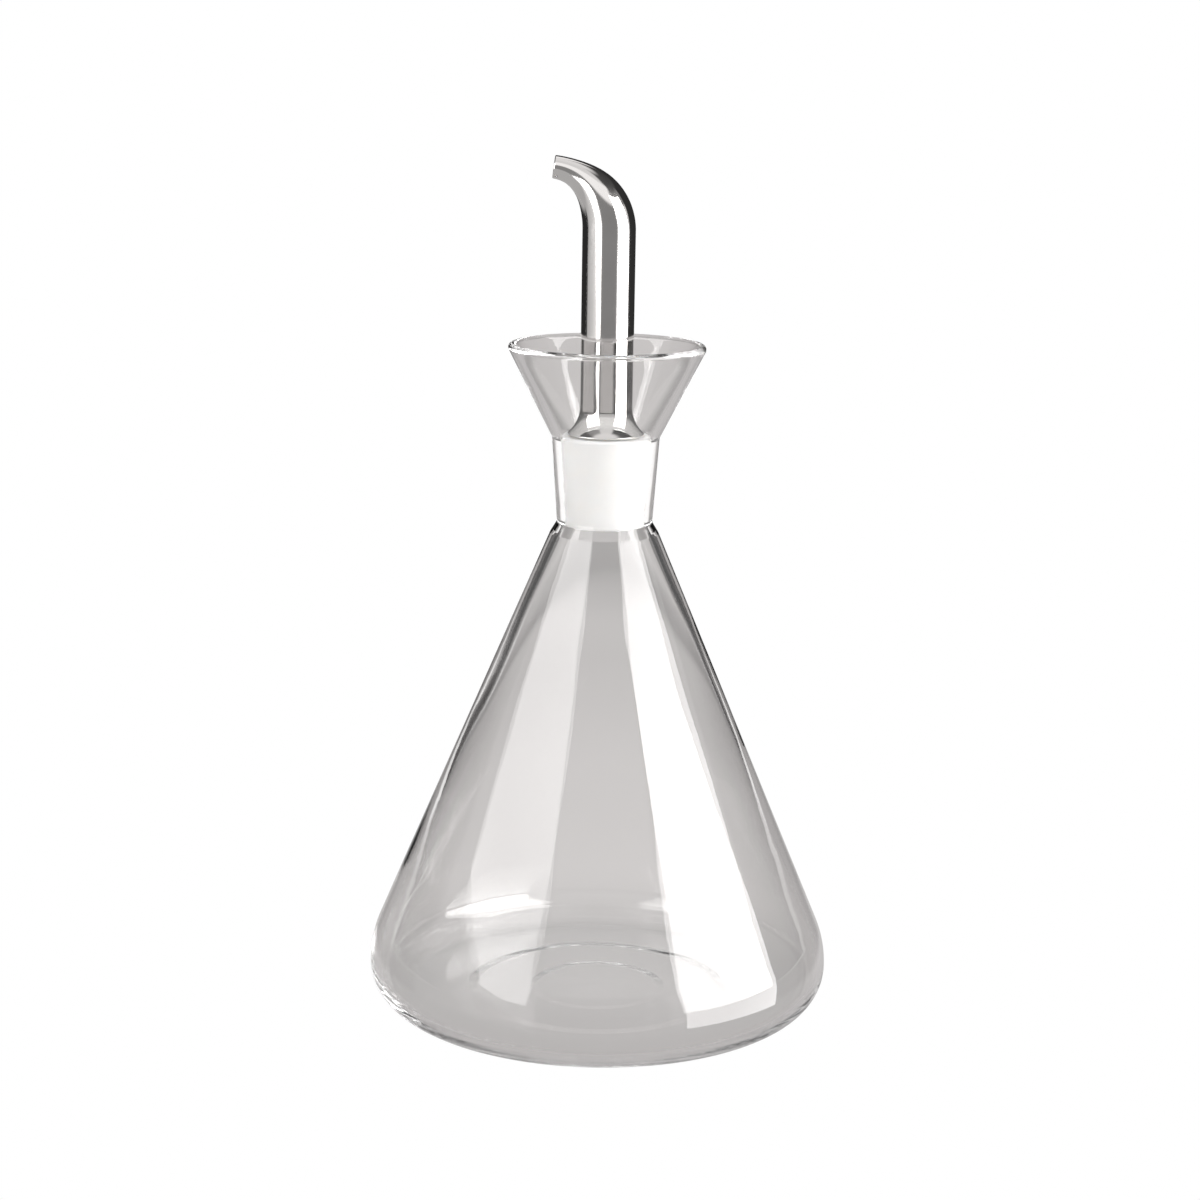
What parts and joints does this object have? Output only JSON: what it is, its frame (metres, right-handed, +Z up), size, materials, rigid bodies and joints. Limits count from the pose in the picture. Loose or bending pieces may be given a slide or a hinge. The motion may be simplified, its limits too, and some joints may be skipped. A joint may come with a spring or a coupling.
{
  "type": "drip-return oil cruet",
  "caption": "Conical clear-glass oil cruet with a funnel mouth that catches drips, a tapered white stopper and a bent polished steel pouring spout.",
  "frame": {"origin": "centre of the ring that the flask stands on, at the standing surface", "axes": "+Z up along the flask's axis, -X the way the spout's beak points, so +Y is to the right of someone pouring"},
  "size_m": [0.094, 0.094, 0.1727],
  "materials": {
    "clear_glass": "clear blown glass, fire-polished rim",
    "white_polymer": "smooth milky-white moulded polymer, slightly translucent",
    "polished_steel": "mirror-polished stainless steel"
  },
  "bodies": {
    "flask": {"flask": "clear_glass"},
    "stopper": {"stopper": "white_polymer"},
    "spout": {"spout": "polished_steel"}
  },
  "joints": [
    {"name": "stopper_lift", "type": "slide", "parent": "flask", "child": "stopper", "axis": [0, 0, 1], "range_m": [0, 0.06]},
    {"name": "spout_swivel", "type": "hinge", "parent": "stopper", "child": "spout", "pos_m": [0, 0, 0.123], "axis": [0, 0, 1], "continuous": true}
  ]
}
